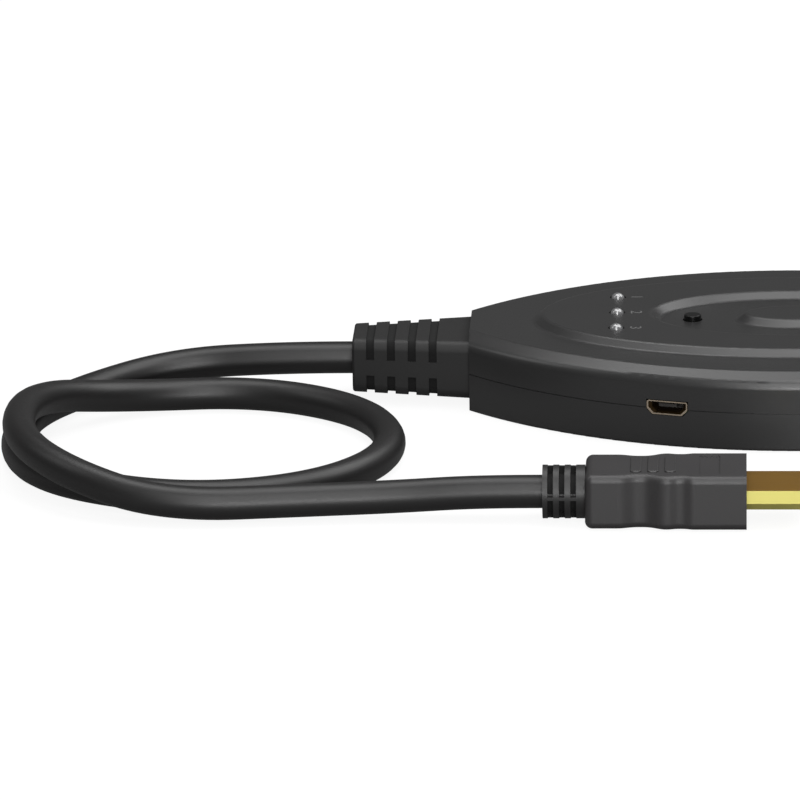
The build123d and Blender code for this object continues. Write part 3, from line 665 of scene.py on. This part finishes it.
@dataclass
class Lead:
    """The captive lead: strain relief, cord and the wires at its held end."""

    finishes: Finishes
    diameter: float = 6.9 * MM
    length: float = 480 * MM

    def route(self) -> list[Point]:
        """Returns:
            The lead's way over the table, in metres: once round in a loop that climbs over its start.
        """
        held_low, held_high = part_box("cord_held_end")
        collar_low, collar_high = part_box("plug_collar")
        exit_z = (held_low.z + held_high.z) / 2 / MM
        exit_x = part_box("cord_relief")[0].x / MM
        plug_x = collar_low.x / MM
        plug_y = (collar_low.y + collar_high.y) / 2 / MM
        plug_z = (collar_low.z + collar_high.z) / 2 / MM
        points = [
            (exit_x, 0.0, exit_z),
            (-92.0, 0.0, exit_z),
            (-116.4, 1.9, 6.4),
            (-136.3, -9.4, 3.45),
            (-146.8, -30.0, 3.45),
            (-146.2, -58.6, 3.45),
            (-133.6, -77.2, 3.45),
            (-106.9, -88.2, 3.45),
            (-79.6, -78.7, 3.45),
            (-65.8, -53.4, 3.45),
            (-72.8, -25.4, 3.45),
            (-96.8, -9.4, 3.45),
            (-125.9, -13.6, 3.6),
            (-144.6, -35.3, 10.3),
            (-145.8, -64.3, 10.8),
            (-134.1, -84.0, 8.5),
            (-112.7, -94.3, 4.1),
            (-81.6, -90.5, 4.2),
            (-65.0, -89.2, 4.5),
            (-48.0, plug_y, plug_z),
            (plug_x, plug_y, plug_z),
        ]
        return [(x * MM, y * MM, z * MM) for x, y, z in points]

    def build(self) -> None:
        """Lays the cord and dresses what holds it."""
        points = self.route()
        curve = bpy.data.curves.new("lead", "CURVE")
        curve.dimensions = "3D"
        curve.bevel_depth = self.diameter / 2
        curve.bevel_resolution = 10
        curve.resolution_u = 14
        curve.use_fill_caps = True
        spline = curve.splines.new("NURBS")
        spline.points.add(len(points) - 1)
        for point, place in zip(spline.points, points):
            point.co = (*place, 1.0)
        spline.order_u = 3
        spline.use_endpoint_u = True
        cord = bpy.data.objects.new("lead", curve)
        bpy.context.scene.collection.objects.link(cord)
        finish_piece(cord, Body.CASING, "jacket", self.finishes.jacket, "lead_cord")
        dress("cord_relief", self.finishes.relief)
        dress("cord_held_end", self.finishes.jacket)
        dress("lead_wires", self.finishes.wire)


@dataclass
class Plug:
    """The plug at the lead's end, with its collar and grip."""

    finishes: Finishes

    def build(self) -> None:
        """Dresses the plug."""
        dress("plug_collar", self.finishes.collar)
        dress("plug_cord_end", self.finishes.jacket)
        dress("plug_body", self.finishes.grip)
        dress("plug_shell", self.finishes.gold)
        dress("plug_insulator", self.finishes.nylon)
        dress("plug_contacts", self.finishes.gold)
        dress("plug_wires", self.finishes.wire)


@dataclass(frozen=True)
class SoftBox:
    """One lamp, a lit rectangle that looks at the part.

    Attributes:
        name: the lamp's name.
        place: where it hangs, in millimetres.
        width: its size across, in millimetres.
        depth: its other size, in millimetres.
        power: its power in watts.
    """

    name: str
    place: Point
    width: float
    depth: float
    power: float


SOFT_BOXES = (
    SoftBox("overhead", (-20, 55, 900), 1040, 450, 4.1),
    SoftBox("right", (540, 345, 760), 860, 560, 3.6),
    SoftBox("front", (20, -1110, 715), 400, 1700, 8.7),
    SoftBox("low", (110, -930, 130), 380, 240, 1.5),
    SoftBox("left", (-830, -20, 770), 400, 450, 0.75),
)


@dataclass
class Studio:
    """The white table, the lamps and the camera, with angles in degrees and the lens in millimetres."""

    table_size: float = 6.0
    table_drop: float = 0.02 * MM
    table_roughness: float = 0.9
    target: Point = (-67.739 * MM, -4.476 * MM, 0.0)
    distance: float = 1684.058 * MM
    elevation: float = 16.495
    azimuth: float = 2.602
    roll: float = -0.794
    lens: float = 352.197
    sensor_width: float = 36.0
    farthest: float = 10.0
    table_colour: float = 0.13
    table_glow: float = 0.905
    table_mirrored: float = 0.1
    world_light: float = 0.08
    world_mirrored: float = 0.13

    def build(self) -> None:
        """Sets up the table, the lamps, the world and the camera."""
        scene = bpy.context.scene
        scene.view_settings.view_transform = "Standard"
        self.lay_table()
        self.light_world()
        for box in SOFT_BOXES:
            self.hang_lamp(box)
        self.place_camera()

    def seen_strength(
        self, tree: bpy.types.NodeTree, unseen: float, mirrored: float, seen: float
    ) -> bpy.types.NodeSocket:
        """Makes a strength that depends on the kind of ray.

        Args:
            tree: the tree that the nodes go into.
            unseen: the strength for light that falls on the part.
            mirrored: the strength for what gloss shows.
            seen: the strength for the camera and through clear resin.

        Returns:
            The strength's socket.
        """
        path = tree.nodes.new("ShaderNodeLightPath")
        direct = tree.nodes.new("ShaderNodeMath")
        direct.operation = "MAXIMUM"
        tree.links.new(path.outputs["Is Camera Ray"], direct.inputs[0])
        tree.links.new(path.outputs["Is Transmission Ray"], direct.inputs[1])
        gloss = tree.nodes.new("ShaderNodeMapRange")
        gloss.inputs["To Min"].default_value = unseen
        gloss.inputs["To Max"].default_value = mirrored
        tree.links.new(path.outputs["Is Glossy Ray"], gloss.inputs["Value"])
        strength = tree.nodes.new("ShaderNodeMapRange")
        tree.links.new(direct.outputs[0], strength.inputs["Value"])
        tree.links.new(gloss.outputs[0], strength.inputs["To Min"])
        strength.inputs["To Max"].default_value = seen
        return strength.outputs[0]

    def lay_table(self) -> None:
        """Lays the white table, which keeps the part's shadow."""
        fresh_selection()
        bpy.ops.mesh.primitive_plane_add(size=self.table_size, location=(0, 0, -self.table_drop))
        table = bpy.context.object
        table.name = "table"
        material = bpy.data.materials.new("white_table")
        material.use_nodes = True
        tree = material.node_tree
        surface = tree.nodes["Principled BSDF"]
        grey = (self.table_colour,) * 3
        surface.inputs["Base Color"].default_value = (*grey, 1.0)
        surface.inputs["Roughness"].default_value = self.table_roughness
        surface.inputs["Emission Color"].default_value = WHITE
        glow = self.seen_strength(tree, 0.0, self.table_mirrored, self.table_glow)
        tree.links.new(glow, surface.inputs["Emission Strength"])
        table.data.materials.append(material)

    def light_world(self) -> None:
        """Makes a surround that is white for the camera and dim for gloss and for the part's light."""
        world = bpy.data.worlds.new("surround")
        bpy.context.scene.world = world
        world.use_nodes = True
        tree = world.node_tree
        back = tree.nodes["Background"]
        back.inputs["Color"].default_value = WHITE
        strength = self.seen_strength(tree, self.world_light, self.world_mirrored, 1.0)
        tree.links.new(strength, back.inputs["Strength"])

    def hang_lamp(self, box: SoftBox) -> None:
        """Hangs one soft box.

        Args:
            box: the lamp.
        """
        place = tuple(value * MM for value in box.place)
        data = bpy.data.lights.new(box.name, "AREA")
        data.shape = "RECTANGLE"
        data.size = box.width * MM
        data.size_y = box.depth * MM
        data.energy = box.power
        lamp = bpy.data.objects.new(box.name, data)
        bpy.context.scene.collection.objects.link(lamp)
        lamp.location = place
        lamp.rotation_euler = (Vector(self.target) - Vector(place)).to_track_quat("-Z", "Y").to_euler()

    def place_camera(self) -> None:
        """Stands the camera where the photo was taken from."""
        elevation = math.radians(self.elevation)
        azimuth = math.radians(self.azimuth)
        roll = math.radians(self.roll)
        back = Vector(
            (
                math.sin(azimuth) * math.cos(elevation),
                -math.cos(azimuth) * math.cos(elevation),
                math.sin(elevation),
            )
        )
        level = Vector((math.cos(azimuth), math.sin(azimuth), 0))
        upright = back.cross(level)
        right = level * math.cos(roll) + upright * math.sin(roll)
        up = upright * math.cos(roll) - level * math.sin(roll)
        data = bpy.data.cameras.new("camera")
        data.lens = self.lens
        data.sensor_width = self.sensor_width
        data.clip_end = self.farthest
        camera = bpy.data.objects.new("camera", data)
        bpy.context.scene.collection.objects.link(camera)
        turn = Matrix((right, up, back)).transposed()
        camera.matrix_world = Matrix.Translation(Vector(self.target) + back * self.distance) @ turn.to_4x4()
        bpy.context.scene.camera = camera


def main() -> None:
    """Builds every sub-assembly in order."""
    logging.basicConfig(level=logging.INFO, format="%(message)s")
    finishes = Finishes()
    Studio().build()
    Lead(finishes).build()
    Plug(finishes).build()
    Casing(finishes).build()
    Lamps(finishes).build()
    Sockets(finishes).build()
    Inside(finishes).build()


if __name__ == "__main__":
    main()
